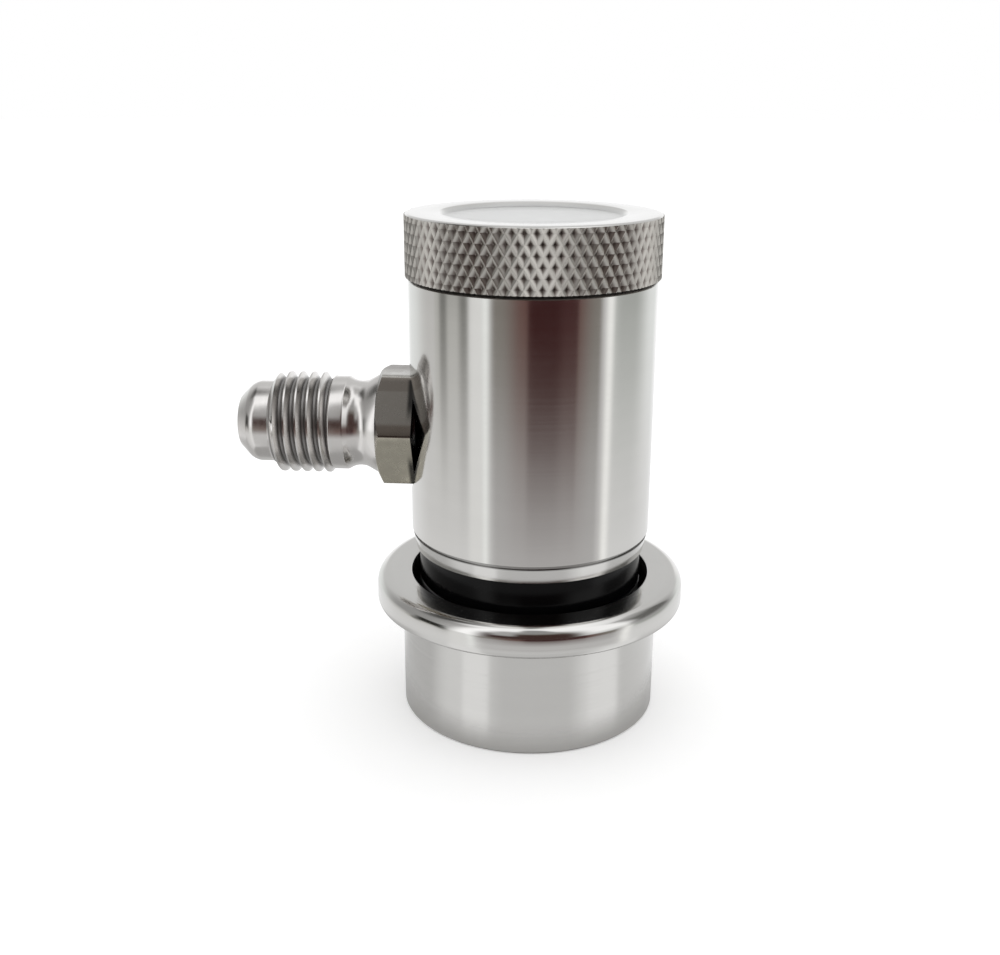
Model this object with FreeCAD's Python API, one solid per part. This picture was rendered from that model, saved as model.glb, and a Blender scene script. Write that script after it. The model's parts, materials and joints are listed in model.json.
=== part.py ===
import FreeCAD, Part
import math
import os

# Ball lock disconnect. Millimetres, +Z up along the barrel, outlet along -X.
# The origin is on the barrel's axis, in the plane of the collar's lower rim.
# A keg post enters the socket from below. The balls drop under the post's lip,
# and the collar's cam holds them there until the collar is lifted against its spring.

V = FreeCAD.Vector
UP = V(0, 0, 1)
ORIGIN = V(0, 0, 0)

# Socket for the keg post
socket_radius = 7.8
socket_lead_in = 0.6
seal_step = 0.2
seal_length = 6.2
relief_step = 0.5
relief_length = 6.0

# Locking balls: how far they reach into the socket, and stay proud of the neck
ball_count = 6
ball_diameter = 3.969
ball_reach = 0.9
ball_proud = 0.17
ball_clearance = 0.05
ball_cage_web = 0.5

# Snap ring under the collar
ring_thickness = 1.0
ring_seat_depth = 0.55
ring_overhang = 1.7
ring_clearance = 0.05
ring_side_clearance = 0.1
ring_gap_degrees = 36.0

# Neck end below the ring
neck_recess = 0.6
cage_lip = 0.6
edge_break = 0.25

# Sliding collar
collar_height = 16.0
collar_wall = 1.8
collar_ring_clearance = 0.2
collar_rim_wall = 1.1
collar_travel = 3.0
collar_guide_clearance = 0.05
collar_guide_length = 1.8
flange_width = 2.85
flange_thickness = 3.3
flange_top_round = 1.15
flange_low_round = 0.4

# Barrel
barrel_clearance = 0.1
barrel_stop_gap = 0.2
barrel_length = 29.7
barrel_wall = 6.2
skirt_height = 2.0
skirt_taper = 0.4
skirt_shoulder = 0.12
skirt_groove_width = 0.45
skirt_groove_depth = 0.3
chamber_chamfer = 1.0

# Band on the neck
band_height = 4.0
band_thickness = 1.7
band_clearance = 0.05

# Collar spring
collar_spring_wire = 1.0
collar_spring_turns = 3.0
spring_seat_gap = 0.02
spring_stations_per_turn = 16
spring_sides = 8

# Valve seat and poppet
web_thickness = 3.0
valve_hole_radius = 3.2
seat_lip_offset = 0.3
seat_lip_width = 0.6
seat_lip_height = 0.4
poppet_seal_width = 1.3
poppet_seal_thickness = 1.2
poppet_seal_stand_out = 0.5
poppet_seal_clearance = 0.05
poppet_seal_round = 0.32
poppet_rim = 0.6
poppet_plate = 1.2
poppet_stem_radius = 1.6
poppet_tip_round = 1.2
poppet_tip_drop = 5.6
poppet_fin_count = 4
poppet_fin_thickness = 1.0
poppet_fin_clearance = 0.08
poppet_fin_drop = 1.5
poppet_spigot_radius = 2.6
poppet_spigot_height = 2.7

# Valve spring
valve_spring_wire = 0.7
valve_spring_turns = 8.0
valve_spring_clearance = 0.2

# Cap: a knurled rim, and a threaded plug that holds the valve spring
cap_height = 6.7
cap_overhang = 0.3
cap_edge = 0.25
cap_low_edge = 0.1
cap_recess_radius = 9.8
cap_recess_depth = 0.4
plug_radius = 9.94
plug_clearance = 0.06
plug_length = 6.0
plug_end_gap = 0.5
plug_pocket_depth = 3.0
plug_pocket_clearance = 0.4
knurl_count = 69
knurl_angle = 30
knurl_depth = 0.4
knurl_ledge = 0.1
knurl_edge = 0.15

# Cap seal
cap_seal_section = 1.6
cap_seal_gland_gap = 0.1
cap_seal_end_land = 0.9
cap_seal_clearance = 0.05

# Outlet fitting: shank, hex, waist, flare thread, pilot and 45 degree nose
outlet_height = 13.2
outlet_bore_radius = 2.4
spotface_radius = 7.0
spotface_depth = 0.8
port_web = 1.0
shank_radius = 4.0
shank_clearance = 0.06
shank_end_gap = 0.2
hex_across_flats = 12.0
hex_length = 4.0
hex_turn = 3.4
hex_chamfer = 30.0
waist_base_radius = 5.6
waist_radius = 4.35
waist_length = 3.7
waist_round = 2.2
shoulder_radius = 5.15
shoulder_length = 1.5
shoulder_round = 0.8
thread_radius = 5.55
thread_length = 6.6
thread_chamfer = 0.5
pilot_radius = 4.45
pilot_length = 2.25
nose_length = 1.6
nose_round = 0.8

# Outlet seal
outlet_seal_section = 1.2
outlet_seal_gap = 0.15

# Radii that follow from the sizes above
ball_radius = ball_diameter / 2
ball_orbit = socket_radius - ball_reach + ball_radius
neck_radius = ball_orbit + ball_radius - ball_proud
window_radius = ball_radius + ball_clearance
ring_groove_radius = neck_radius - ring_seat_depth - ring_clearance
ring_outer_radius = neck_radius + ring_overhang
counterbore_radius = ring_outer_radius + collar_ring_clearance
collar_radius = counterbore_radius + collar_wall
opening_radius = collar_radius - collar_rim_wall
flange_radius = collar_radius + flange_width
barrel_radius = opening_radius - barrel_clearance
chamber_radius = barrel_radius - barrel_wall
cap_radius = barrel_radius + cap_overhang
seal_radius = socket_radius - seal_step
relief_radius = seal_radius + relief_step
plug_bore_radius = plug_radius + plug_clearance
seat_lip_inner = valve_hole_radius + seat_lip_offset
poppet_boss_radius = seat_lip_inner - 2 * poppet_seal_clearance
valve_spring_radius = poppet_spigot_radius + valve_spring_clearance + valve_spring_wire / 2
cap_seal_radius = plug_bore_radius - cap_seal_clearance - cap_seal_section / 2

# Heights that follow from the sizes above
groove_low = neck_recess + cage_lip
stop_level = groove_low + ring_thickness
groove_top = stop_level + ring_side_clearance
ball_level = groove_top + ball_cage_web + window_radius
seal_start = ball_level + window_radius + ball_cage_web
seal_end = seal_start + seal_length
ceiling = seal_end + relief_length
chamber_floor = ceiling + web_thickness
seat_level = chamber_floor + seat_lip_height
poppet_seal_top = seat_level + poppet_seal_thickness
poppet_head_top = poppet_seal_top + poppet_plate
barrel_low = collar_height + collar_travel + barrel_stop_gap
barrel_top = barrel_low + barrel_length
outlet_level = barrel_low + outlet_height
plug_low = barrel_top - plug_length
cap_top = barrel_top + cap_height

# Cam that drives the balls in step with the collar
cam_slope = ball_reach / collar_travel
cam_angle = math.atan(cam_slope)
cam_at_ball = ball_orbit + window_radius / math.cos(cam_angle)
land_radius = neck_radius + collar_guide_clearance
cam_top = ball_level + (cam_at_ball - land_radius) / cam_slope
cam_low_radius = cam_at_ball + (ball_level - stop_level) * cam_slope
collar_shoulder = cam_top + collar_guide_length

# Stations along the outlet, counted from the barrel's axis
shank_hole_end = chamber_radius + port_web
spotface_at = barrel_radius - spotface_depth
gland_at = spotface_at - outlet_seal_section - outlet_seal_gap
hex_end = spotface_at + hex_length
waist_end = hex_end + waist_length
thread_start = waist_end + shoulder_length
thread_end = thread_start + thread_length
pilot_end = thread_end + pilot_length
nose_end = pilot_end + nose_length


def rounded_edges(corners, closed):
    """Edges through (radius, height) corners; a third value rounds that corner."""
    points = [V(c[0], 0, c[1]) for c in corners]
    count = len(points)
    entry = []
    leave = []
    arcs = []
    for i, corner in enumerate(corners):
        here = points[i]
        arc = None
        if len(corner) == 3:
            before = (points[i - 1] - here).normalize()
            after = (points[(i + 1) % count] - here).normalize()
            half = before.getAngle(after) / 2
            reach = corner[2] / math.tan(half)
            start = here + before * reach
            finish = here + after * reach
            inward = (before + after).normalize()
            middle = here + inward * (corner[2] / math.sin(half) - corner[2])
            arc = Part.Arc(start, middle, finish).toShape()
        entry.append(start if arc else here)
        leave.append(finish if arc else here)
        arcs.append(arc)
    edges = []
    for i in range(count if closed else count - 1):
        if arcs[i]:
            edges.append(arcs[i])
        target = entry[(i + 1) % count]
        edges.append(Part.LineSegment(leave[i], target).toShape())
    return edges


def turned(corners):
    """A solid of revolution about Z from a closed outline."""
    outline = Part.Wire(rounded_edges(corners, True))
    return Part.Face(outline).revolve(ORIGIN, UP, 360)


def turned_skin(corners):
    """Open faces of revolution about Z from an open outline."""
    return Part.Wire(rounded_edges(corners, False)).revolve(ORIGIN, UP, 360).Faces


def ring(radius, section, level):
    """A round-section seal ring about Z."""
    return Part.makeTorus(radius, section / 2, V(0, 0, level), UP)


def along_outlet(shape):
    """Lay a shape made about Z, with stations as heights, along the outlet."""
    shape.rotate(ORIGIN, V(0, 1, 0), -90)
    shape.translate(V(0, 0, outlet_level))
    return shape


def polygon(radius, sides, turn, place):
    """A closed polygon in the XZ plane about the origin, turned and then moved by place."""
    angles = [math.radians(turn + 360 * i / sides) for i in range(sides)]
    corners = [place + V(radius * math.cos(a), 0, radius * math.sin(a)) for a in angles]
    return Part.makePolygon(corners + corners[:1])


def coil_spring(mean_radius, wire, turns, low, high):
    """A coil spring between the planes low and high, as a ruled loft of wire sections."""
    start = low + wire / 2 + spring_seat_gap
    rise = high - low - wire - 2 * spring_seat_gap
    corner_radius = wire / 2 / math.cos(math.pi / spring_sides)
    stations = math.ceil(turns * spring_stations_per_turn)
    sections = []
    for j in range(stations + 1):
        share = j / stations
        centre = V(mean_radius, 0, start + rise * share)
        section = polygon(corner_radius, spring_sides, 180 / spring_sides, centre)
        section.rotate(ORIGIN, UP, 360 * turns * share)
        sections.append(section)
    return Part.makeLoft(sections, True, True)


def ball_angle(k):
    """The first ball stands half a step away from the +X side."""
    return (k + 0.5) * 360 / ball_count


def bored_along_outlet(radius, station):
    """A drill along the outlet that reaches from a station to beyond the barrel."""
    return along_outlet(Part.makeCylinder(radius, flange_radius - station, V(0, 0, station), UP))


def make_valve_body():
    """The barrel with its neck: chamber, seat, post socket, side port and ball windows."""
    seat_lip_outer = seat_lip_inner + seat_lip_width
    skirt_top = barrel_low + skirt_height
    groove_floor = barrel_radius - skirt_groove_depth
    body = turned([
        (socket_radius + socket_lead_in, neck_recess),
        (neck_radius - edge_break, neck_recess),
        (neck_radius, neck_recess + edge_break),
        (neck_radius, groove_low),
        (ring_groove_radius, groove_low),
        (ring_groove_radius, groove_top),
        (neck_radius, groove_top),
        (neck_radius, barrel_low),
        (barrel_radius - skirt_taper, barrel_low),
        (barrel_radius - skirt_shoulder, skirt_top - skirt_groove_width),
        (groove_floor, skirt_top - skirt_groove_width),
        (groove_floor, skirt_top),
        (barrel_radius, skirt_top),
        (barrel_radius, barrel_top - edge_break),
        (barrel_radius - edge_break, barrel_top),
        (plug_bore_radius + edge_break, barrel_top),
        (plug_bore_radius, barrel_top - edge_break),
        (plug_bore_radius, plug_low - plug_end_gap),
        (chamber_radius, plug_low - plug_end_gap),
        (chamber_radius, chamber_floor + chamber_chamfer),
        (chamber_radius - chamber_chamfer, chamber_floor),
        (seat_lip_outer, chamber_floor),
        (seat_lip_outer, seat_level),
        (seat_lip_inner, seat_level),
        (valve_hole_radius, chamber_floor),
        (valve_hole_radius, ceiling),
        (relief_radius, ceiling),
        (relief_radius, seal_end + relief_step),
        (seal_radius, seal_end),
        (seal_radius, seal_start),
        (socket_radius, seal_start - seal_step),
        (socket_radius, neck_recess + socket_lead_in),
    ])
    cuts = [
        bored_along_outlet(outlet_bore_radius, 0),
        bored_along_outlet(shank_radius + shank_clearance, shank_hole_end),
        bored_along_outlet(shank_radius + 2 * outlet_seal_gap + outlet_seal_section, gland_at),
        bored_along_outlet(spotface_radius, spotface_at),
    ]
    # A ball window is a drilled hole with a round seat that keeps the ball from falling in.
    seat = V(ball_orbit, 0, ball_level)
    for k in range(ball_count):
        window = Part.makeSphere(window_radius, seat).fuse(
            Part.makeCylinder(window_radius, neck_radius, seat, V(1, 0, 0)))
        window.rotate(ORIGIN, UP, ball_angle(k))
        cuts.append(window)
    return body.cut(cuts)


def make_balls():
    """The balls as they stand when the collar is down, reaching into the socket."""
    balls = {}
    for k in range(ball_count):
        ball = Part.makeSphere(ball_radius, V(ball_orbit, 0, ball_level))
        ball.rotate(ORIGIN, UP, ball_angle(k))
        balls["ball_%d" % (k + 1)] = ball
    return balls


def make_snap_ring():
    """A C-shaped ring in the neck's groove. Its gap faces away from the viewer."""
    inner = ring_groove_radius + ring_clearance
    flat = turned([
        (inner, groove_low),
        (ring_outer_radius, groove_low),
        (ring_outer_radius, stop_level),
        (inner, stop_level),
    ])
    wedge = Part.makeCylinder(
        2 * ring_outer_radius, collar_height, ORIGIN, UP, ring_gap_degrees)
    wedge.rotate(ORIGIN, UP, 90 - ring_gap_degrees / 2)
    return flat.cut(wedge)


def make_collar():
    """The sliding collar, with the cam cone and its guide land inside."""
    return turned([
        (counterbore_radius + edge_break, 0),
        (collar_radius - edge_break, 0),
        (collar_radius, edge_break),
        (collar_radius, collar_height - flange_thickness, flange_low_round),
        (flange_radius, collar_height - flange_thickness, flange_low_round),
        (flange_radius, collar_height, flange_top_round),
        (opening_radius + edge_break, collar_height),
        (opening_radius, collar_height - edge_break),
        (opening_radius, collar_shoulder),
        (land_radius, collar_shoulder),
        (land_radius, cam_top),
        (cam_low_radius, stop_level),
        (counterbore_radius, stop_level),
        (counterbore_radius, edge_break),
    ])


def make_id_band():
    """The black band, which is also the upper seat of the collar's spring."""
    inner = neck_radius + band_clearance
    outer = neck_radius + band_thickness
    low = barrel_low - band_height
    return turned([
        (inner, low),
        (outer - edge_break, low),
        (outer, low + edge_break),
        (outer, barrel_low),
        (inner, barrel_low),
    ])


def make_poppet():
    """The valve pin: the post pushes its stem, and the head carries the face seal."""
    rim_low = seat_level + poppet_seal_stand_out
    recess = poppet_boss_radius + poppet_seal_width + 2 * poppet_seal_clearance
    head = recess + poppet_rim
    spigot_top = poppet_head_top + poppet_spigot_height
    pin = turned([
        (0, ceiling - poppet_tip_drop),
        (poppet_stem_radius, ceiling - poppet_tip_drop, poppet_tip_round),
        (poppet_stem_radius, rim_low),
        (poppet_boss_radius, rim_low),
        (poppet_boss_radius, poppet_seal_top),
        (recess, poppet_seal_top),
        (recess, rim_low),
        (head - edge_break, rim_low),
        (head, rim_low + edge_break),
        (head, poppet_head_top - edge_break),
        (head - edge_break, poppet_head_top),
        (poppet_spigot_radius, poppet_head_top),
        (poppet_spigot_radius, spigot_top - edge_break),
        (poppet_spigot_radius - edge_break, spigot_top),
        (0, spigot_top),
    ])
    # The fins guide the stem in the valve hole and leave room for the flow.
    fin_reach = valve_hole_radius - poppet_fin_clearance
    fin_low = ceiling - poppet_fin_drop
    fin_height = rim_low - fin_low
    envelope = Part.makeCylinder(fin_reach, fin_height, V(0, 0, fin_low), UP)
    fins = []
    for k in range(poppet_fin_count):
        corner = V(0, -poppet_fin_thickness / 2, fin_low)
        fin = Part.makeBox(fin_reach, poppet_fin_thickness, fin_height, corner)
        fin.rotate(ORIGIN, UP, (k + 0.5) * 360 / poppet_fin_count)
        fins.append(fin.common(envelope))
    return pin.fuse(fins).removeSplitter()


def make_poppet_seal():
    """A rubber washer under the poppet's head that rests on the seat's raised lip."""
    inner = poppet_boss_radius + poppet_seal_clearance
    outer = inner + poppet_seal_width
    return turned([
        (inner, seat_level),
        (outer, seat_level, poppet_seal_round),
        (outer, poppet_seal_top),
        (inner, poppet_seal_top),
    ])


def between_levels(corners, low, high):
    """The part of a polygon that lies between two levels."""
    for level, side in ((low, 1), (high, -1)):
        kept = []
        for here, ahead in zip(corners, corners[1:] + corners[:1]):
            height = side * (here.z - level)
            next_height = side * (ahead.z - level)
            if height >= 0:
                kept.append(here)
            if height * next_height < 0:
                kept.append(here + (ahead - here) * (height / (height - next_height)))
        corners = kept
    return corners


def knurl_skin(low, rows, row_height):
    """Facets of a diamond knurl: pointed pits between crossed ridges, trimmed halfway between two rows."""
    high = low + rows * row_height
    quarter = 90 / knurl_count

    def point(half_columns, row):
        is_pit = (half_columns + row) % 2 == 0
        radius = cap_radius - knurl_depth if is_pit else cap_radius
        angle = math.radians(2 * quarter * half_columns)
        return V(radius * math.cos(angle), radius * math.sin(angle), low + (row + 0.5) * row_height)

    facets = []
    for row in range(-1, rows + 1):
        for centre in range(row % 2, 2 * knurl_count, 2):
            for side in (centre - 1, centre + 1):
                for other in (row - 1, row + 1):
                    corners = [point(centre, row), point(side, row), point(centre, other)]
                    facets.append(between_levels(corners, low, high))
    facets = [corners for corners in facets if len(corners) > 2]
    ends = []
    for level in (low, high):
        rim = {}
        for corner in sum(facets, []):
            if abs(corner.z - level) < 1e-6:
                place = math.degrees(math.atan2(corner.y, corner.x)) / quarter
                rim[round(place) % (4 * knurl_count)] = corner
        outline = [rim[place] for place in sorted(rim)]
        ends.append(Part.makePolygon(outline + outline[:1]))
    faces = [Part.Face(Part.makePolygon(corners + corners[:1])) for corners in facets]
    return faces, ends


def make_cap():
    """The screw cap, one closed shell of knurl facets and turned faces."""
    row_height = math.pi * cap_radius / knurl_count / math.tan(math.radians(knurl_angle))
    rows = math.floor((cap_height - 2 * knurl_edge) / row_height)
    knurl_height = rows * row_height
    knurl_low = barrel_top + (cap_height - knurl_height) / 2
    knurl_high = knurl_low + knurl_height
    shoulder = cap_radius - knurl_depth - knurl_ledge
    faces, ends = knurl_skin(knurl_low, rows, row_height)
    for outline, level in zip(ends, (knurl_low, knurl_high)):
        hole = Part.Wire(Part.makeCircle(shoulder, V(0, 0, level), UP))
        faces.append(Part.makeFace([outline, hole], "Part::FaceMakerBullseye"))
    faces += turned_skin([
        (shoulder, knurl_high),
        (shoulder - cap_edge, cap_top),
        (cap_recess_radius, cap_top),
        (cap_recess_radius - cap_recess_depth, cap_top - cap_recess_depth),
        (0, cap_top - cap_recess_depth),
    ])
    gland_low = plug_low + cap_seal_end_land
    gland_high = gland_low + cap_seal_section + 2 * cap_seal_gland_gap
    gland_floor = cap_seal_radius - cap_seal_section / 2 - cap_seal_gland_gap
    pocket = valve_spring_radius + valve_spring_wire / 2 + plug_pocket_clearance
    faces += turned_skin([
        (shoulder, knurl_low),
        (shoulder - cap_low_edge, barrel_top),
        (plug_radius, barrel_top),
        (plug_radius, gland_high),
        (gland_floor, gland_high),
        (gland_floor, gland_low),
        (plug_radius, gland_low),
        (plug_radius, plug_low + edge_break),
        (plug_radius - edge_break, plug_low),
        (pocket, plug_low),
        (pocket, plug_low + plug_pocket_depth),
        (0, plug_low + plug_pocket_depth),
    ])
    shell = Part.makeShell(faces)
    shell.sewShape()
    solid = Part.Solid(shell)
    if solid.Volume < 0:
        solid.reverse()
    return solid


def make_cap_o_ring():
    """The seal in the plug's groove."""
    level = plug_low + cap_seal_end_land + cap_seal_gland_gap + cap_seal_section / 2
    return ring(cap_seal_radius, cap_seal_section, level)


def make_outlet_fitting():
    """The side fitting, turned about its own axis and then laid along the outlet."""
    stem = turned([
        (outlet_bore_radius, shank_hole_end + shank_end_gap),
        (shank_radius - edge_break, shank_hole_end + shank_end_gap),
        (shank_radius, shank_hole_end + shank_end_gap + edge_break),
        (shank_radius, spotface_at),
        (waist_base_radius, spotface_at),
        (waist_base_radius, hex_end),
        (waist_radius, hex_end + waist_length / 2, waist_round),
        (shoulder_radius, waist_end, shoulder_round),
        (shoulder_radius, thread_start),
        (thread_radius, thread_start + thread_radius - shoulder_radius),
        (thread_radius, thread_end - thread_chamfer),
        (pilot_radius, thread_end + thread_radius - pilot_radius - thread_chamfer),
        (pilot_radius, pilot_end, nose_round),
        (pilot_radius - nose_length, nose_end),
        (outlet_bore_radius, nose_end),
    ])
    flat_radius = hex_across_flats / 2
    corner_radius = hex_across_flats / math.sqrt(3)
    hexagon = polygon(corner_radius, 6, hex_turn + 30, ORIGIN)
    hexagon.rotate(ORIGIN, V(1, 0, 0), -90)
    hexagon.translate(V(0, 0, spotface_at))
    prism = Part.Face(hexagon).extrude(V(0, 0, hex_length))
    chamfer_drop = (corner_radius - flat_radius) * math.tan(math.radians(hex_chamfer))
    chamfered = turned([
        (outlet_bore_radius, spotface_at),
        (corner_radius, spotface_at),
        (corner_radius, hex_end - chamfer_drop),
        (flat_radius, hex_end),
        (outlet_bore_radius, hex_end),
    ])
    return along_outlet(stem.fuse(prism.common(chamfered)).removeSplitter())


def make_outlet_o_ring():
    """The seal round the shank, squeezed between the hex and the barrel."""
    radius = shank_radius + outlet_seal_gap + outlet_seal_section / 2
    return along_outlet(ring(radius, outlet_seal_section, gland_at + outlet_seal_section / 2))


nodes = {
    "valve_body": make_valve_body(),
    "cap": make_cap(),
    "cap_o_ring": make_cap_o_ring(),
    "poppet": make_poppet(),
    "poppet_seal": make_poppet_seal(),
    "valve_spring": coil_spring(
        valve_spring_radius, valve_spring_wire, valve_spring_turns,
        poppet_head_top, plug_low + plug_pocket_depth),
    "outlet_fitting": make_outlet_fitting(),
    "outlet_o_ring": make_outlet_o_ring(),
    "id_band": make_id_band(),
    "collar": make_collar(),
    "collar_spring": coil_spring(
        (neck_radius + opening_radius) / 2, collar_spring_wire, collar_spring_turns,
        collar_shoulder, barrel_low - band_height),
    "snap_ring": make_snap_ring(),
}
nodes.update(make_balls())

os.makedirs("parts", exist_ok=True)
for name, shape in nodes.items():
    solid = shape.Solids[0]
    solid.exportStep("parts/%s.step" % name)
    print(name, len(shape.Solids), solid.isValid(), round(solid.Volume, 2))
print("stop, ball, collar shoulder:", stop_level, ball_level, collar_shoulder)
print("seal land and ceiling:", seal_start, seal_end, ceiling)
print("neck, collar, barrel, cap radii:", neck_radius, collar_radius, barrel_radius, cap_radius)
print("outlet stations:", spotface_at, thread_start, thread_end, nose_end, "at", outlet_level)
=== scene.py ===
# %% [markdown]
# # A ball lock disconnect in polished steel
# The real object couples a beer line to a keg. It is turned from stainless steel: a barrel with a knurled
# screw cap, a side fitting with a hexagon and a flare thread, a black band, and a flanged collar that
# slides up to release it. Its frame, with every piece at its real size and place, comes ready made. This
# lesson gives that frame its looks: finer pieces where the frame is plain, finishes, a small photo studio
# and a camera.

# %% Load the frame
import json
import math

import bmesh
import bpy
from mathutils import Matrix, Vector


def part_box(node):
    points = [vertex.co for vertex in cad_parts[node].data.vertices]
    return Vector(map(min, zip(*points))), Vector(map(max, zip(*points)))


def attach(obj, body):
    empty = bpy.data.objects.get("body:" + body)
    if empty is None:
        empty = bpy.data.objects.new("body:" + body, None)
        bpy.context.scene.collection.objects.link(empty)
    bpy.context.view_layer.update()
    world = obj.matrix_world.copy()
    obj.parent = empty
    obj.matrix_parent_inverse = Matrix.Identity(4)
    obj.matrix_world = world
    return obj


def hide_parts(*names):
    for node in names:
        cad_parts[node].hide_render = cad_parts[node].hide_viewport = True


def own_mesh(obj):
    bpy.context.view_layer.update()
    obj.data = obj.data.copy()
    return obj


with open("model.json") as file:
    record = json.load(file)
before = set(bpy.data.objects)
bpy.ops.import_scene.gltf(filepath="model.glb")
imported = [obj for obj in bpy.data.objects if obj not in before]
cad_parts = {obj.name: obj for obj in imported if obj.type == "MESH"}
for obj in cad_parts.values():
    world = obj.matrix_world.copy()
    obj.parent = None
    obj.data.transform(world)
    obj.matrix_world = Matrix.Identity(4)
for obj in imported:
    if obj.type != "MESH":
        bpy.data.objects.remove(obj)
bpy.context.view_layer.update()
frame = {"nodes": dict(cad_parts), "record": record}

mm = 0.001

# %% [markdown]
# ## Shader maths that reads like maths
# A procedural finish is mostly arithmetic on coordinates. Wiring Math nodes by hand hides the formula, so a
# small class wraps a socket and overloads the operators: `1 - mask` then adds its Math node by itself.
# Colours and vectors have their own Mix and Vector Math nodes, because a Math node would turn a colour
# grey.

# %% A socket that takes part in Python expressions
class Wire:
    """The output of a node. An expression on it adds Math nodes."""

    def __init__(self, tree, socket):
        self.tree = tree
        self.socket = socket

    def add(self, kind, settings=None, sockets=None, output=0):
        """Adds a node: first its settings, then the values or links of its sockets."""
        node = self.tree.nodes.new(kind)
        for name, value in (settings or {}).items():
            setattr(node, name, value)
        for name, value in (sockets or {}).items():
            if isinstance(value, Wire):
                self.tree.links.new(value.socket, node.inputs[name])
            else:
                node.inputs[name].default_value = value
        return Wire(self.tree, node.outputs[output] if node.outputs else None)

    def maths(self, operation, *values):
        return self.add("ShaderNodeMath", {"operation": operation}, dict(enumerate(values)))

    def __add__(self, other):
        return self.maths("ADD", self, other)

    def __radd__(self, other):
        return self.maths("ADD", other, self)

    def __sub__(self, other):
        return self.maths("SUBTRACT", self, other)

    def __rsub__(self, other):
        return self.maths("SUBTRACT", other, self)

    def __mul__(self, other):
        return self.maths("MULTIPLY", self, other)

    def __rmul__(self, other):
        return self.maths("MULTIPLY", other, self)

    def __abs__(self):
        return self.maths("ABSOLUTE", self)

    def parts(self):
        """The X, Y and Z of a vector."""
        return [self.add("ShaderNodeSeparateXYZ", None, {0: self}, axis) for axis in "XYZ"]

    def step(self, low, high):
        """A smooth step from 0 at low to 1 at high; it falls where low is the larger one."""
        sockets = {"Value": self, "From Min": low, "From Max": high}
        return self.add("ShaderNodeMapRange", {"interpolation_type": "SMOOTHSTEP"}, sockets)

    def blend(self, first, second):
        """The first colour where this wire is 0, the second where it is 1."""
        first, second = (c if isinstance(c, Wire) else (*c, 1.0) for c in (first, second))
        return self.add("ShaderNodeMix", {"data_type": "RGBA"}, {0: self, 6: first, 7: second}, 2)


def distance(a, b):
    """The length of the vector with the parts a and b."""
    return (a * a + b * b).maths("SQRT", a * a + b * b)


print("the maths is ready")

# %% [markdown]
# ## The camera
# The camera stands where the photograph was taken from, about 13 cm from the object's axis and looking
# down: so near that the rims show as clear ellipses. Its place is a bearing, a distance and a height in the
# object's frame, and its aim is a pan, a tilt and a roll, the three turns of a real tripod head.

# %% Place the camera
camera_bearing = math.radians(2.475)
camera_distance = 127.0
camera_height = 68.98
pan = math.radians(4.007)
tilt = math.radians(18.514)
roll = math.radians(0.223)

camera = bpy.data.objects.new("camera", bpy.data.cameras.new("camera"))
bpy.context.scene.collection.objects.link(camera)
bpy.context.scene.camera = camera
camera.data.sensor_fit = "HORIZONTAL"
camera.data.sensor_width = 36.0
camera.data.lens = 43.243
camera.data.clip_start = 0.001
forth = math.cos(camera_bearing) * camera_distance
aside = math.sin(camera_bearing) * camera_distance
stand = Vector((aside, -forth, camera_height)) * mm
turn = Matrix.Rotation(pan, 4, "Z") @ Matrix.Rotation(math.pi / 2 - tilt, 4, "X")
turn = turn @ Matrix.Rotation(roll, 4, "Z")
camera.matrix_world = Matrix.Translation(stand) @ turn
print("camera at", [round(x / mm, 1) for x in stand], "mm")

# %% [markdown]
# ## Helpers for turned work
# Nearly every piece here came off a lathe. `outline` draws a closed section of (radius, height, corner)
# points and `lathe` spins it. A corner is rounded with the vertex bevel, which makes a true arc when its
# offset is the arc's tangent length. `next_ring` grows an open edge loop into the next ring, for pieces
# that aren't round everywhere. `finish_piece` scales the millimetres to metres, closes the seam, turns the
# faces outwards and makes the object, which stays at the origin so that patterns on its coordinates stay
# put.

# %% Turning, rings and finishing
lathe_steps = 160


def outline(bm, points):
    """A closed section in the XZ plane from (radius, height) or (radius, height, corner) points."""
    places = [Vector((p[0], 0, p[1])) for p in points]
    verts = [bm.verts.new(p) for p in places]
    for a, b in zip(verts, verts[1:] + verts[:1]):
        bm.edges.new((a, b))
    for i, point in enumerate(points):
        if len(point) == 3:
            to_last = places[i - 1] - places[i]
            to_next = places[(i + 1) % len(places)] - places[i]
            reach = point[2] / math.tan(to_last.angle(to_next) / 2)
            bmesh.ops.bevel(bm, geom=[verts[i]], offset=reach, offset_type="OFFSET", segments=8,
                            profile=0.5, affect="VERTICES", material=-1)


def lathe(points, steps=lathe_steps):
    """A closed ring of revolution about Z."""
    bm = bmesh.new()
    outline(bm, points)
    bmesh.ops.spin(bm, geom=bm.verts[:] + bm.edges[:], cent=(0, 0, 0), axis=(0, 0, 1), angle=2 * math.pi,
                   steps=steps, use_merge=True)
    return bm


def next_ring(bm, loop, radius, height):
    """Extrudes a loop of edges to a new radius and height; either may be a function of the old radius."""
    grown = bmesh.ops.extrude_edge_only(bm, edges=loop)["geom"]
    for vert in [g for g in grown if isinstance(g, bmesh.types.BMVert)]:
        old = vert.co.xy.length
        new = radius(old) if callable(radius) else radius
        vert.co.xy = vert.co.xy * (new / old)
        vert.co.z = height(old) if callable(height) else height
    return [g for g in grown if isinstance(g, bmesh.types.BMEdge)]


def absorb(bm, other):
    """Moves everything from the other bmesh into bm."""
    mesh = bpy.data.meshes.new("part")
    other.to_mesh(mesh)
    other.free()
    bm.from_mesh(mesh)
    bpy.data.meshes.remove(mesh)


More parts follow.
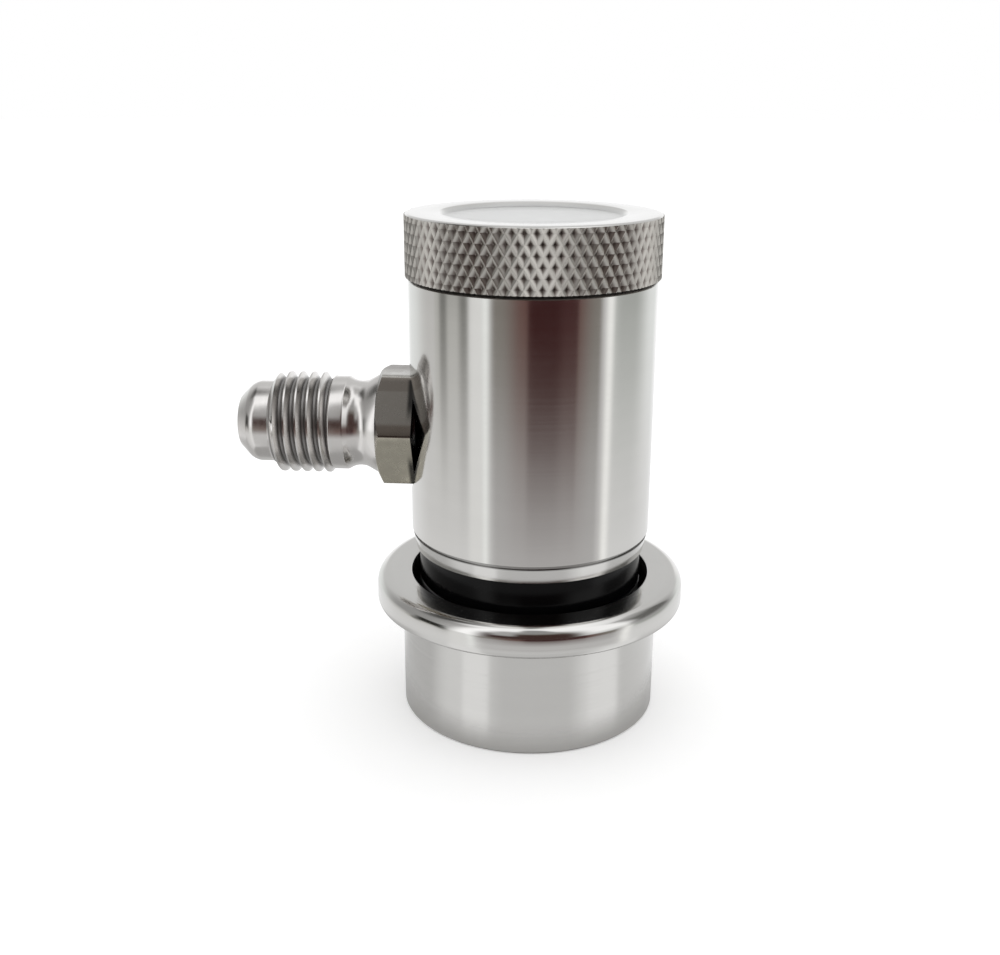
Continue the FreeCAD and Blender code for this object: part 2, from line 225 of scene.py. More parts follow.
def finish_piece(bm, name, body, node, sharp=34.0):
    """Makes the object of a bmesh in millimetres, hangs it on its body and hides the node whose place it
    takes.
    """
    bmesh.ops.remove_doubles(bm, verts=bm.verts[:], dist=0.0005)
    bmesh.ops.recalc_face_normals(bm, faces=bm.faces[:])
    bmesh.ops.scale(bm, vec=(mm, mm, mm), verts=bm.verts[:])
    mesh = bpy.data.meshes.new(name)
    bm.to_mesh(mesh)
    bm.free()
    mesh.shade_smooth()
    mesh.set_sharp_from_angle(angle=math.radians(sharp))
    piece = bpy.data.objects.new(name, mesh)
    bpy.context.scene.collection.objects.link(piece)
    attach(piece, body)
    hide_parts(node)
    print(name, "has", len(mesh.polygons), "faces")
    return piece


def low_high(node):
    """A node's lowest and highest corner in millimetres."""
    low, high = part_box(node)
    return low / mm, high / mm


# %% [markdown]
# ## The side fitting
# The real fitting is turned from hexagon bar: the hexagon is the bar's own dull skin, and all the rest is
# bright turned steel. The frame has its thread as a plain cylinder. Here the stem is turned with the
# thread's core, and the thread is a trapezoid spun along a helix, because a spin with a step along its axis
# is just what a threading tool does. Its ends run out under two cones, like a real thread's chamfers.
# Everything is made standing up, with the stations along the fitting as heights, and is laid along the
# outlet at the end.

# %% Stations along the fitting
mounts = {m["name"]: m for m in frame["record"]["mounts"]}
outlet_level = mounts["flare_outlet"]["pos_m"][2] / mm
thread_radius = mounts["flare_outlet"]["dims"]["r_mm"]
nose_end = -low_high("outlet_fitting")[0].x
shank_end = -low_high("outlet_fitting")[1].x
nose_length = 1.6
pilot_end = nose_end - nose_length
thread_end = pilot_end - 2.25
thread_start = thread_end - 6.6
waist_end = thread_start - 1.5
hex_end = waist_end - 3.7
hex_start = hex_end - 4.0
pilot_radius = 4.45
shoulder_radius = 5.15
waist_base = 5.6
waist_radius = 4.35
narrowest = waist_end - 1.4
bore_radius = 2.4
shank_radius = 4.0
pitch = 1.27
core_radius = thread_radius - 0.62 * pitch
print("the thread runs from", round(thread_start, 2), "to", round(thread_end, 2),
      "and the nose ends at", nose_end)

# %% Turn the stem
stem = lathe([
    (bore_radius, shank_end),
    (shank_radius, shank_end, 0.2),
    (shank_radius, hex_start + 0.5),
    (waist_base - 0.3, hex_start + 0.5),
    (waist_base, hex_end),
    (waist_radius, narrowest, 2.0),
    (shoulder_radius, waist_end, 0.3),
    (shoulder_radius, thread_start, 0.15),
    (core_radius, thread_start + 0.3),
    (core_radius, thread_end - 0.2),
    (pilot_radius, thread_end + 0.2),
    (pilot_radius, pilot_end, 1.6),
    (pilot_radius - nose_length, nose_end, 0.35),
    (bore_radius, nose_end),
], 128)

# %% Cut the thread
turns = (thread_end - thread_start + 0.4) / pitch
steps_per_turn = 60
thread_steps = round(turns * steps_per_turn)
ridge = bmesh.new()
root_half = 0.46 * pitch
crest_half = 0.07 * pitch
ridge_foot = core_radius - 0.1
section = [(ridge_foot, -root_half), (thread_radius, -crest_half), (thread_radius, crest_half),
           (ridge_foot, root_half)]
corners = [ridge.verts.new((r, 0, thread_start - 0.1 + h)) for r, h in section]
ridge.faces.new(corners)
bmesh.ops.spin(ridge, geom=ridge.verts[:] + ridge.edges[:] + ridge.faces[:], cent=(0, 0, 0), axis=(0, 0, 1),
               angle=2 * math.pi * thread_steps / steps_per_turn, steps=thread_steps,
               dvec=(0, 0, pitch / steps_per_turn))
for vert in ridge.verts:
    station = vert.co.z
    first_cone = shoulder_radius + (station - thread_start)
    last_cone = pilot_radius + 0.5 + (thread_end - station)
    limit = min(first_cone, last_cone)
    old = vert.co.xy.length
    vert.co.xy *= min(old, max(limit, core_radius - 0.15)) / old
    vert.co.z = min(max(vert.co.z, thread_start - 0.05), thread_end + 0.1)
bmesh.ops.recalc_face_normals(ridge, faces=ridge.faces[:])

# %% Saw the hexagon
across_flats = 12.0
flat_radius = across_flats / 2
hex_corner = across_flats / math.sqrt(3)
hex_bore = shank_radius + 0.2
hex_turn = Matrix.Rotation(math.radians(3.4), 3, "Z")
hexagon = bmesh.new()
bmesh.ops.create_circle(hexagon, segments=6, radius=hex_corner)
bmesh.ops.bevel(hexagon, geom=hexagon.verts[:], offset=0.25, offset_type="OFFSET", segments=3, profile=0.5,
                affect="VERTICES", material=-1)
long_sides = [e for e in hexagon.edges if e.calc_length() > 1]
bmesh.ops.subdivide_edges(hexagon, edges=long_sides, cuts=12)
bmesh.ops.rotate(hexagon, cent=(0, 0, 0), matrix=hex_turn, verts=hexagon.verts[:])
bmesh.ops.translate(hexagon, vec=(0, 0, hex_start), verts=hexagon.verts[:])
slope = math.tan(math.radians(30))
start_loop = hexagon.edges[:]
loop = next_ring(hexagon, start_loop, lambda r: r, lambda r: hex_end - (r - flat_radius + 0.1) * slope)
loop = next_ring(hexagon, loop, flat_radius - 0.1, hex_end)
loop = next_ring(hexagon, loop, hex_bore, hex_end)
loop = next_ring(hexagon, loop, hex_bore, hex_start)
bmesh.ops.bridge_loops(hexagon, edges=loop + start_loop)
bmesh.ops.recalc_face_normals(hexagon, faces=hexagon.faces[:])
for face in hexagon.faces:
    face.material_index = 1

# %% Lay it along the outlet
absorb(stem, ridge)
absorb(stem, hexagon)
bmesh.ops.rotate(stem, cent=(0, 0, 0), matrix=Matrix.Rotation(-math.pi / 2, 3, "Y"), verts=stem.verts[:])
bmesh.ops.translate(stem, vec=(0, 0, outlet_level), verts=stem.verts[:])
flare_fitting = finish_piece(stem, "flare_fitting", "barrel", "outlet_fitting")

# %% [markdown]
# ## The knurled cap
# A knurling wheel rolls crossed ridges into the rim and leaves small four-sided pits between them. A bump
# map could fake that, but the ridges catch the light at the cap's edge too, so they are modelled. One pit
# is a diamond on the rim that is inset and sunk in two steps, the second one steeper, so the ridges between
# the pits keep sharp crests. Spinning copies gives a row, and rows that are shifted by half a pit give the
# diamond pattern. Two cuts trim it halfway through a row, and rings then carry the shape over the top edge,
# across the shallow recess, and down round the screw plug.

# %% Sizes of the cap
cap_low, cap_high = low_high("cap")
barrel_top = low_high("valve_body")[1].z
cap_radius = cap_high.x
knurl_count = 69
knurl_rows = 6
knurl_angle = math.radians(30)
pit_steps = ((0.14, 0.085), (0.33, 0.28))
half_pit = math.pi / knurl_count
row_height = cap_radius * half_pit / math.tan(knurl_angle)
knurl_low = (barrel_top + cap_high.z - knurl_rows * row_height) / 2
knurl_high = knurl_low + knurl_rows * row_height
print("the cap is", round(2 * cap_radius, 2), "mm across with rows", round(row_height, 3), "mm high")

# %% One pit, a row of pits, and all the rows
def rim_point(angle, height):
    return (cap_radius * math.cos(angle), cap_radius * math.sin(angle), height)


cap_bm = bmesh.new()
diamond = [rim_point(0, -row_height), rim_point(half_pit, 0), rim_point(0, row_height),
           rim_point(-half_pit, 0)]
pit = cap_bm.faces.new([cap_bm.verts.new(p) for p in diamond])
cap_bm.normal_update()
for inward, down in pit_steps:
    bmesh.ops.inset_individual(cap_bm, faces=[pit], thickness=inward, depth=-down, use_even_offset=True)
bmesh.ops.spin(cap_bm, geom=cap_bm.verts[:] + cap_bm.edges[:] + cap_bm.faces[:], cent=(0, 0, 0),
               axis=(0, 0, 1), angle=2 * half_pit * (knurl_count - 1), steps=knurl_count - 1,
               use_duplicate=True)
bmesh.ops.translate(cap_bm, vec=(0, 0, knurl_low + row_height / 2), verts=cap_bm.verts[:])
first_row = cap_bm.verts[:] + cap_bm.edges[:] + cap_bm.faces[:]
for row in range(-1, knurl_rows + 1):
    if row != 0:
        copy = bmesh.ops.duplicate(cap_bm, geom=first_row)["geom"]
        copied = [g for g in copy if isinstance(g, bmesh.types.BMVert)]
        shift = Matrix.Rotation(half_pit * (row % 2), 3, "Z")
        bmesh.ops.rotate(cap_bm, cent=(0, 0, 0), matrix=shift, verts=copied)
        bmesh.ops.translate(cap_bm, vec=(0, 0, row * row_height), verts=copied)
bmesh.ops.remove_doubles(cap_bm, verts=cap_bm.verts[:], dist=0.001)
print(knurl_rows, "rows of", knurl_count, "pits")

# %% Trim the knurl and turn the rest
for height, side in ((knurl_low, -1), (knurl_high, 1)):
    bmesh.ops.bisect_plane(cap_bm, geom=cap_bm.verts[:] + cap_bm.edges[:] + cap_bm.faces[:], dist=0.0001,
                           plane_co=(0, 0, height), plane_no=(0, 0, side), clear_outer=True)


def open_loop(height):
    return [e for e in cap_bm.edges if e.is_boundary and abs(e.verts[0].co.z - height) < 0.01
            and abs(e.verts[1].co.z - height) < 0.01]


near_axis = 0.6
rim = cap_radius - 0.1
undercut = 12.75
recess = 9.8
recess_floor = cap_high.z - 0.4
loop = open_loop(knurl_high)
for radius, height in ((rim, knurl_high), (rim - 0.05, cap_high.z - 0.1), (rim - 0.2, cap_high.z - 0.03),
                       (rim - 0.5, cap_high.z), (recess + 0.1, cap_high.z), (recess, cap_high.z - 0.02),
                       (recess - 0.52, cap_high.z - 0.38), (recess - 0.6, recess_floor),
                       (4.0, recess_floor), (near_axis, recess_floor)):
    loop = next_ring(cap_bm, loop, radius, height)
pole = {v for e in loop for v in e.verts}
bmesh.ops.pointmerge(cap_bm, verts=list(pole), merge_co=(0, 0, recess_floor))

plug_radius = 9.94
plug_core = 9.45
gland_low = cap_low.z + 0.9
gland_high = gland_low + 1.8
gland_floor = 8.25
core_low = gland_high + 0.6
pocket_radius = 3.9
pocket_top = low_high("valve_spring")[1].z + 0.02
loop = open_loop(knurl_low)
for radius, height in ((undercut, knurl_low), (undercut, barrel_top), (plug_core, barrel_top),
                       (plug_core, core_low), (plug_radius, core_low), (plug_radius, gland_high),
                       (gland_floor, gland_high),
                       (gland_floor, gland_low), (plug_radius, gland_low), (plug_radius, cap_low.z + 0.25),
                       (plug_radius - 0.25, cap_low.z), (pocket_radius, cap_low.z),
                       (pocket_radius, pocket_top), (near_axis, pocket_top)):
    loop = next_ring(cap_bm, loop, radius, height)
pole = {v for e in loop for v in e.verts}
bmesh.ops.pointmerge(cap_bm, verts=list(pole), merge_co=(0, 0, pocket_top))

# %% The plug's screw thread
plug_pitch = 1.0
plug_turns = 2.2
plug_root_half = 0.42
plug_crest_half = 0.08
ridge = bmesh.new()
low = gland_high + 0.55
ridge_foot = plug_core - 0.1
section = [(ridge_foot, -plug_root_half), (plug_radius, -plug_crest_half), (plug_radius, plug_crest_half),
           (ridge_foot, plug_root_half)]
ridge.faces.new([ridge.verts.new((r, 0, low + h)) for r, h in section])
plug_steps = round(plug_turns * steps_per_turn)
bmesh.ops.spin(ridge, geom=ridge.verts[:] + ridge.edges[:] + ridge.faces[:], cent=(0, 0, 0), axis=(0, 0, 1),
               angle=2 * math.pi * plug_steps / steps_per_turn, steps=plug_steps,
               dvec=(0, 0, plug_pitch / steps_per_turn))
bmesh.ops.recalc_face_normals(ridge, faces=ridge.faces[:])
absorb(cap_bm, ridge)
knurled_cap = finish_piece(cap_bm, "knurled_cap", "cap", "cap", 25.0)

# %% [markdown]
# ## The collar
# The collar is one turned ring, so it is spun from its section: the cone that drives the balls inside, the
# flange outside. Its flange leans inwards a little over its upper part before it rounds over, which the
# frame leaves out, and that lean is what stretches the dark reflection along its edge.

# %% Turn the collar
flange_radius = low_high("collar")[1].x
collar_top = low_high("collar")[1].z
collar_radius = flange_radius - 2.85
collar_opening = collar_radius - 1.1
collar_bore = collar_radius - 1.8
edge_break = 0.25
ring_stop = 2.2
cone_radius = 11.8
cone_top = 5.7
land_top = 7.5
land_radius = 10.75
flange_low = collar_top - 3.3
lean_start = flange_low + 1.2
lean = 0.06
collar_steps = 192
release_collar = finish_piece(lathe([
    (collar_bore + edge_break, 0),
    (collar_radius - edge_break, 0),
    (collar_radius, edge_break),
    (collar_radius, flange_low, 0.4),
    (flange_radius, flange_low, 0.4),
    (flange_radius, lean_start, 20.0),
    (flange_radius - lean, collar_top, 1.3),
    (collar_opening, collar_top, edge_break),
    (collar_opening, land_top),
    (land_radius, land_top),
    (land_radius, cone_top),
    (cone_radius, ring_stop),
    (collar_bore, ring_stop),
    (collar_bore, edge_break),
], collar_steps), "release_collar", "collar", "collar")

# %% [markdown]
# ## The springs
# Both springs of the real object have closed ends, ground flat so that they stand square. A spin with a
# step along its axis draws each stretch: a closed turn, the open turns, a closed turn. Two cuts grind the
# ends.

# %% Coil them
coil_steps = 48
release_wire = 1.0
closing_wire = 0.7


def coil(name, node, mean_radius, wire, open_turns):
    """A ground compression spring that fills its node's height."""
    low, high = (corner.z for corner in low_high(node))
    closed_rise = wire * 1.02
    open_rise = (high - low - 2 * closed_rise) / open_turns
    bm = bmesh.new()
    bmesh.ops.create_circle(bm, cap_ends=True, segments=14, radius=wire / 2)
    bmesh.ops.rotate(bm, cent=(0, 0, 0), matrix=Matrix.Rotation(math.pi / 2, 3, "X"), verts=bm.verts[:])
    bmesh.ops.translate(bm, vec=(mean_radius, 0, low), verts=bm.verts[:])
    geom = bm.verts[:] + bm.edges[:] + bm.faces[:]
    for turns, rise in ((1, closed_rise), (open_turns, open_rise), (1, closed_rise)):
        steps = round(turns * coil_steps)
        step_rise = rise * turns / steps
        geom = bmesh.ops.spin(bm, geom=geom, cent=(0, 0, 0), axis=(0, 0, 1), angle=2 * math.pi * turns,
                              steps=steps, dvec=(0, 0, step_rise))["geom_last"]
    for height, side in ((low, -1), (high, 1)):
        cut = bmesh.ops.bisect_plane(bm, geom=bm.verts[:] + bm.edges[:] + bm.faces[:], dist=0.0001,
                                     plane_co=(0, 0, height), plane_no=(0, 0, side), clear_outer=True)
        rim_edges = [g for g in cut["geom_cut"] if isinstance(g, bmesh.types.BMEdge)]
        bmesh.ops.contextual_create(bm, geom=rim_edges)
    piece = finish_piece(bm, name, "barrel", node)
    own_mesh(piece)
    return piece


collar_spring_low, collar_spring_high = low_high("collar_spring")
valve_spring_low, valve_spring_high = low_high("valve_spring")
release_spring = coil("release_spring", "collar_spring", collar_spring_high.x - release_wire / 2,
                      release_wire, 2)
closing_spring = coil("closing_spring", "valve_spring", valve_spring_high.x - closing_wire / 2,
                      closing_wire, 6)

# %% [markdown]
# ## Finishes
# Turned stainless steel is one metal with several faces. Its colour is a warm grey that hardly varies; what
# tells a polished barrel from a dull hexagon is roughness, and the fine rings that the tool leaves. Every
# turned finish therefore starts from the same metal, and adds rings as one-dimensional noise along the
# turned profile, cloudy smudges as soft noise in space, and a little bump. Object coordinates in
# millimetres keep the scale true.

# %% Building blocks of a finish
def new_finish(name):
    """An empty material, and its Object coordinates in millimetres."""
    material = bpy.data.materials.new(name)
    material.use_nodes = True
    tree = material.node_tree
    tree.nodes.clear()
    place = Wire(tree, None).add("ShaderNodeTexCoord", output="Object")
    return material, place.add("ShaderNodeVectorMath", {"operation": "SCALE"}, {0: place, "Scale": 1 / mm})


def close_finish(place, constants, wires):
    """Ends a finish in one Principled shader, with plain values first and wires after."""
    shader = place.add("ShaderNodeBsdfPrincipled", None, {**constants, **wires})
    place.add("ShaderNodeOutputMaterial", None, {"Surface": shader})


def clouds(place, scale):
    return place.add("ShaderNodeTexNoise", None, {"Vector": place, "Scale": scale, "Detail": 2.0})


def rings(along, per_mm, detail=2.0):
    """Noise that changes only along the turned profile."""
    settings = {"noise_dimensions": "1D"}
    return along.add("ShaderNodeTexNoise", settings, {"W": along, "Scale": per_mm, "Detail": detail})


def bump(height, micrometres):
    sockets = {"Height": height, "Distance": micrometres * 1e-6, "Strength": 1.0}
    return height.add("ShaderNodeBump", None, sockets)


across_faces = 1.31


def profile_about_z(place):
    """The length along a profile turned about the object's Z axis: it grows along walls and across faces."""
    x, y, z = place.parts()
    return z + distance(x, y) * across_faces


def profile_about_outlet(place):
    """The same for a piece turned about the outlet's axis."""
    x, y, z = place.parts()
    return distance(y, z - outlet_level) * across_faces - x


def steel(name, profile, colour, rough, ring_scale, ring_rough, ring_bump, smudge, painted_shade=None):
    """Turned stainless steel: its rings and smudges vary the roughness, the rings also the bump.
    Its last argument is a function of the place that is 1 where shade is painted into a groove or gap."""
    material, place = new_finish(name)
    along = profile(place)
    fine = rings(along, ring_scale)
    broad = rings(along, ring_scale * 0.13, 1.0)
    cloud = clouds(place, 0.35)
    roughness = rough + (fine - 0.5) * ring_rough + (cloud - 0.5) * smudge
    dull = tuple(0.93 * c for c in colour)
    metal = (broad * 0.6 + cloud * 0.4).blend(dull, colour)
    if painted_shade:
        # painted shade: where the mask is 1 the colour darkens, and the metal is rougher there
        mask = painted_shade(place)
        metal = mask.blend(metal, tuple(0.25 * c for c in colour))
        roughness = roughness + mask * 0.25
    close_finish(place, {"Metallic": 1.0},
                 {"Base Color": metal, "Roughness": roughness, "Normal": bump(fine, ring_bump)})
    return material


# %% Where shade is painted
barrel_radius = low_high("valve_body")[1].x
groove_low = 20.6
groove_high = 21.3


def barrel_painted_shade(place):
    """Painted shade in the groove above the barrel's lower edge, and a painted shadow in the seam under the
    cap.
    """
    x, y, z = place.parts()
    from_axis = distance(x, y)
    groove = from_axis.step(barrel_radius - 0.05, barrel_radius - 0.2) \
        * z.step(groove_low, groove_low + 0.1) * z.step(groove_high, groove_high - 0.1)
    seam_shadow = z.step(barrel_top - 0.22, barrel_top - 0.12)
    return groove.maths("MAXIMUM", groove * 0.6, seam_shadow)


def collar_painted_shade(place):
    """Painted shade on the collar's inner wall, down in the gap where it slides on the neck."""
    x, y, z = place.parts()
    return distance(x, y).step(collar_opening + 0.1, collar_opening)


def thread_painted_shade(place):
    """Painted shade at the root of the fitting's thread."""
    x, y, z = place.parts()
    from_axis = distance(y, z - outlet_level)
    along = x * -1
    return from_axis.step(core_radius + 0.45, core_radius) * along.step(thread_start, thread_start + 0.3) \
        * along.step(thread_end + 0.1, thread_end - 0.2) * 0.8


# %% The metals
bright = steel("bright_steel", profile_about_z, (0.67, 0.66, 0.64), 0.11, 3.0, 0.05, 0.25, 0.04, barrel_painted_shade)
satin = steel("satin_steel", profile_about_z, (0.68, 0.67, 0.65), 0.13, 2.6, 0.16, 0.4, 0.04, collar_painted_shade)
stem_steel = steel("stem_steel", profile_about_outlet, (0.71, 0.69, 0.67), 0.20, 3.5, 0.06, 0.4, 0.05,
                   thread_painted_shade)
pin_steel = steel("pin_steel", profile_about_z, (0.66, 0.65, 0.63), 0.20, 3.5, 0.06, 0.4, 0.05)
wire_steel = steel("wire_steel", profile_about_z, (0.56, 0.56, 0.55), 0.25, 2.0, 0.06, 0.3, 0.05)
# the release spring is painted dark, as the shade in the gap inside the collar
shaded_wire = steel("shaded_wire", profile_about_z, (0.12, 0.12, 0.12), 0.40, 2.0, 0.06, 0.3, 0.05)
ball_steel = steel("ball_steel", profile_about_z, (0.72, 0.72, 0.72), 0.06, 1.0, 0.02, 0.0, 0.03)

# %% The hexagon's dull skin, with painted light and shade on its flats
hex_steel, place = new_finish("hex_steel")
x, y, z = place.parts()
above_corner = z.step(outlet_level + 0.3, outlet_level + 0.5)
upper_flat = above_corner * z.step(outlet_level + 6.1, outlet_level + 5.9)
# the back face, which faces the barrel, is painted near black as the shadow in the gap
under_side = x.step(-hex_start - 0.06, -hex_start - 0.02)
scale = clouds(place, 0.9)
# painted light and shade: below the front corner the hexagon is lighter and warmer, the upper front flat
# dark
skin = above_corner.blend((0.56, 0.53, 0.44), (0.50, 0.49, 0.46))
skin = upper_flat.blend(skin, (0.24, 0.225, 0.205))
# painted dark bands across the upper front flat
dark_bands = z.step(outlet_level + 4.6, outlet_level + 4.8) * 0.5 \
    + z.step(outlet_level + 1.8, outlet_level + 1.3)
skin = (upper_flat * dark_bands * 0.7).blend(skin, (0.09, 0.065, 0.05))
skin = (scale * 0.4).blend(skin, (0.16, 0.14, 0.12))
from_middle = abs(z - outlet_level)
# a painted shadow along the back edge, where the hexagon meets the barrel
shade = x.step(-hex_start - 0.75, -hex_start - 0.3) * from_middle.step(1.5, 3.5)
shade = shade * from_middle.step(5.9, 5.7) * 0.9
skin = shade.blend(skin, (0.02, 0.02, 0.02))
close_finish(place, {"Metallic": 1.0}, {
    "Base Color": under_side.blend(skin, (0.03, 0.03, 0.03)),
    "Roughness": 0.22 + scale * 0.12,
    "Normal": bump(scale, 1.2)})

# %% The knurled steel
knurled_steel, place = new_finish("knurled_steel")
x, y, z = place.parts()
from_axis = distance(x, y)
walls = z.step(knurl_high + 0.02, knurl_high - 0.02) * from_axis.step(undercut + 0.1, undercut + 0.2)
# the pits darken with depth: partly real grime, partly painted shade
grime_and_shade = from_axis.step(cap_radius - 0.08, cap_radius - 0.30) * walls
# a painted shadow at the cap's lower edge and under it
seam_shadow = z.step(knurl_low + 0.03, knurl_low - 0.03)
dish = from_axis.step(recess + 0.05, recess - 0.5)
cloud = clouds(place, 0.6)
metal = dish.blend((0.66, 0.65, 0.63), (0.65, 0.65, 0.64))
metal = walls.blend(metal, (0.51, 0.49, 0.455))
metal = grime_and_shade.blend(metal, (0.21, 0.185, 0.17))
metal = seam_shadow.blend(metal, (0.10, 0.09, 0.08))
close_finish(place, {"Metallic": 1.0}, {
    "Base Color": metal,
    "Roughness": 0.14 + walls * 0.17 + dish * 0.12 + seam_shadow * 0.2 + (cloud - 0.5) * 0.06,
    "Normal": bump(rings(profile_about_z(place), 3.0), 0.3)})

# %% [markdown]
# ## Plastic and rubber
# The band is moulded plastic, black and shiny enough to mirror the collar. The seals are black rubber,
# duller, with a faint mottle from the mould.

# %% The black materials
band_plastic, place = new_finish("band_plastic")
mottle = clouds(place, 3.0)
close_finish(place, {"Specular IOR Level": 0.14}, {
    "Base Color": mottle.blend((0.0010, 0.0010, 0.0012), (0.0025, 0.0025, 0.0028)),
    "Roughness": 0.16 + mottle * 0.06,
    "Normal": bump(mottle, 0.2)})

seal_rubber, place = new_finish("seal_rubber")
mottle = clouds(place, 5.0)
close_finish(place, {"Specular IOR Level": 0.4}, {
    "Base Color": mottle.blend((0.010, 0.010, 0.010), (0.022, 0.022, 0.022)),
    "Roughness": 0.45 + mottle * 0.15,
    "Normal": bump(mottle, 4.0)})

# %% Put the finishes on
def put_on(thing, *materials):
    """Fills the material slots; the faces keep the slot numbers that they have."""
    slots = thing.data.materials
    for number, material in enumerate(materials):
        if number < len(slots):
            slots[number] = material
        else:
            slots.append(material)


nodes = frame["nodes"]
put_on(nodes["valve_body"], bright)
put_on(nodes["poppet"], pin_steel)
put_on(nodes["snap_ring"], wire_steel)
put_on(nodes["id_band"], band_plastic)
for name in ("cap_o_ring", "poppet_seal", "outlet_o_ring"):
    put_on(nodes[name], seal_rubber)
for name in sorted(nodes):
    if name.startswith("ball_"):
        put_on(nodes[name], ball_steel)
put_on(flare_fitting, stem_steel, hex_steel)
put_on(knurled_cap, knurled_steel)
put_on(release_collar, satin)
put_on(release_spring, shaded_wire)
put_on(closing_spring, wire_steel)

# %% [markdown]
# ## The studio
# Polished steel has almost no colour of its own: it shows the room. A product photographer therefore hangs
# white and black cards round the object, and the same is done here in the world's colour, as a function of
# the direction that a mirrored ray takes. The camera itself sees plain white, and plain light falls on
# everything that isn't a mirror.

# %% Directions and cards
def tone(red, green=None, blue=None):
    """The light that a card sends, so that steel mirrors it at these screen levels of 0 to 255."""
    steel_mirrors = (0.66, 0.65, 0.625)
    levels = (red, green or red - 1, blue or red - 4)
    return tuple(((level / 255 + 0.055) / 1.055) ** 2.4 / part for level, part in zip(levels, steel_mirrors))


degrees = 180 / math.pi
world = bpy.data.worlds.new("studio")
bpy.context.scene.world = world
world.use_nodes = True
world.cycles.sampling_method = "NONE"
tree = world.node_tree
tree.nodes.clear()
toward = Wire(tree, None).add("ShaderNodeTexCoord", output="Generated")
east, north, up = toward.parts()
bearing = east.maths("ARCTAN2", east, north * -1) * degrees
climb = up.maths("ARCSINE", up) * degrees


def card(behind, middle, half_width, edge, low, high, fade, colour):
    """Hangs a card in front of what is there already. All its sizes are degrees: its middle and half its
    width along the horizon, how soft its sides are, its low and high edge, and how soft those are."""
    off = abs(bearing.maths("WRAP", bearing - middle, 180.0, -180.0))
    across = off.step(half_width + edge / 2, half_width - edge / 2)
    along = climb.step(low - fade / 2, low + fade / 2) * climb.step(high + fade / 2, high - fade / 2)
    return (across * along).blend(behind, colour)


# %% Hang the cards that the upright walls mirror
sky = climb.step(-70, -40).blend(tone(145), tone(178))
sky = climb.step(-32, -24).blend(sky, tone(205))
sky = climb.step(-20, -10).blend(sky, tone(209, 210, 206))
sky = climb.step(4, 16).blend(sky, tone(186))
sky = climb.step(40, 72).blend(sky, tone(240))
sky = card(sky, -128, 42, 30, -60, -26.5, 2, tone(168))
sky = card(sky, -60, 27, 30, -60, -26.5, 2, tone(197))
sky = card(sky, -47, 13, 5, -60, -26.8, 1.5, tone(212))
sky = card(sky, 70, 21, 22, -60, -26.5, 2, tone(203))
sky = card(sky, 76, 16, 8, -60, -26.8, 1.5, tone(212))
sky = card(sky, 180, 25, 10, -14, 13, 8, tone(222))
sky = card(sky, -87, 34, 29, -19, 0, 22, tone(184, 182, 178))
sky = card(sky, -76, 21, 5, -13, 0, 16, tone(167, 166, 159))
sky = card(sky, -86, 4.5, 6, -14, 0, 14, tone(98, 97, 92))
sky = card(sky, -61.3, 5.3, 8, -14, 0, 18, tone(96, 95, 90))
sky = card(sky, -50, 6.8, 7, -26.6, 0, 1.5, tone(210, 209, 205))
sky = card(sky, -39.6, 2.4, 6, -26.6, 0, 1.5, tone(231, 232, 227))
sky = card(sky, 18, 53, 14, -26, 2, 9, tone(165, 163, 160))
sky = card(sky, 19, 53.6, 8, -16, 2, 12, tone(116, 111, 104))
sky = card(sky, 18, 34, 22, -16, 2, 18, tone(93, 65, 60))
sky = card(sky, 21.5, 22.7, 4, -15, 2, 16, tone(54, 25, 26))
sky = card(sky, 14, 14, 12, -14, 2, 20, tone(47, 19, 19))
sky = card(sky, 100, 23, 32, -13, 2, 24, tone(127, 129, 122))
sky = card(sky, 72.8, 5.2, 6, -26.6, 2, 1.5, tone(183, 181, 178))
sky = card(sky, 77, 3.9, 7, -26.6, 40, 1.5, tone(232, 231, 226))

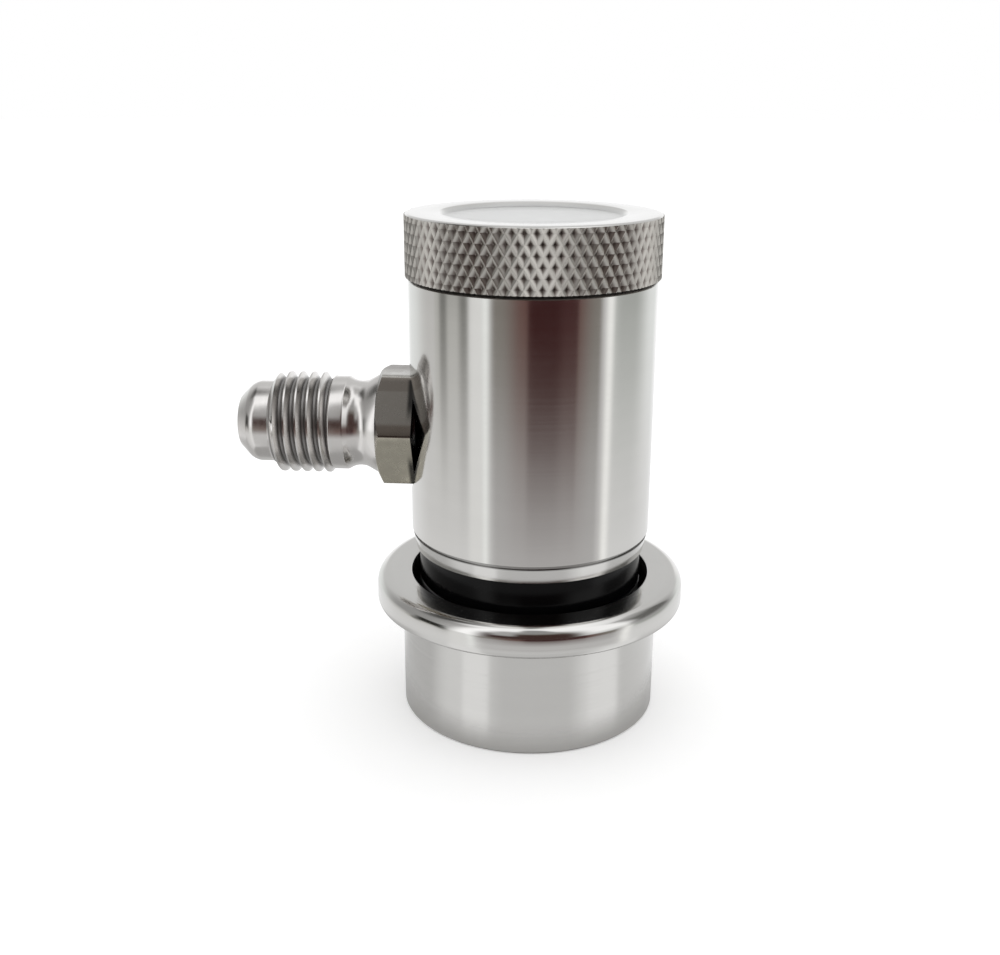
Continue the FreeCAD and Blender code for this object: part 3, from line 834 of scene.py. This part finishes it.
# %% Hang the cards that the rounded rims mirror
sky = card(sky, -91, 33.5, 44, -4, 60, 20, tone(139))
sky = card(sky, -117, 27, 24, 44, 75, 24, tone(70))
sky = card(sky, -72, 12.5, 10, -8, 14, 6, tone(40))
sky = card(sky, 106, 27, 24, -4, 52, 8, tone(154))
sky = card(sky, 102, 22.5, 5, 8, 40, 20, tone(96))
sky = card(sky, 66, 18.5, 16, 14, 73, 24, tone(241))
sky = card(sky, -42, 9.4, 14, -5, 69, 6, tone(250))
sky = card(sky, 12, 25, 14, 1, 54, 24, tone(94, 88, 80))
sky = card(sky, 12, 20, 12, 44, 82, 16, tone(135))
sky = card(sky, -168, 30, 24, 56, 84, 14, tone(165))
sky = card(sky, 3, 35, 20, -2, 38, 14, tone(60, 44, 40))
sky = card(sky, -17, 9, 8, 22, 60, 16, tone(158))
print("cards hang round the object")

# %% [markdown]
# ## Floor and light
# The floor is a white disc. It keeps the soft shadow where the collar stands, and a little light of its
# own, which only the camera sees, lifts the rest to the white of the backdrop. Steel mirrors the floor near
# the object, and past that the cards.

# %% World output and floor
ray = toward.add("ShaderNodeLightPath")
is_camera = Wire(tree, ray.socket.node.outputs["Is Camera Ray"])
is_diffuse = Wire(tree, ray.socket.node.outputs["Is Diffuse Ray"])
light = is_camera.maths("MAXIMUM", is_camera, is_diffuse).blend(sky, (1.0, 1.0, 1.0))
background = light.add("ShaderNodeBackground", None, {"Color": light})
toward.add("ShaderNodeOutputWorld", None, {"Surface": background})

floor_radius = 2.0
floor_bm = bmesh.new()
bmesh.ops.create_circle(floor_bm, cap_ends=True, segments=96, radius=floor_radius)
floor_mesh = bpy.data.meshes.new("floor")
floor_bm.to_mesh(floor_mesh)
floor_bm.free()
floor = bpy.data.objects.new("floor", floor_mesh)
bpy.context.scene.collection.objects.link(floor)

floor_white, place = new_finish("floor_white")
x, y, z = place.parts()
ray = place.add("ShaderNodeLightPath")
is_camera = Wire(place.tree, ray.socket.node.outputs["Is Camera Ray"])
is_glossy = Wire(place.tree, ray.socket.node.outputs["Is Glossy Ray"])
white = is_camera.blend((0.72, 0.72, 0.72), (0.96, 0.96, 0.96))
paint = place.add("ShaderNodeBsdfDiffuse", None, {"Color": white})
glow = place.add("ShaderNodeEmission", None, {"Color": (1.0, 1.0, 1.0, 1.0), "Strength": is_camera * 0.2})
lit = place.add("ShaderNodeAddShader", None, {0: paint, 1: glow})
mirrored_near = 14.5
mirrored_far = 21
gone = is_glossy * distance(x, y).step(mirrored_near, mirrored_far)
clear = place.add("ShaderNodeBsdfTransparent")
surface = place.add("ShaderNodeMixShader", None, {0: gone, 1: lit, 2: clear})
place.add("ShaderNodeOutputMaterial", None, {"Surface": surface})
put_on(floor, floor_white)
bpy.context.scene.view_settings.view_transform = "Standard"
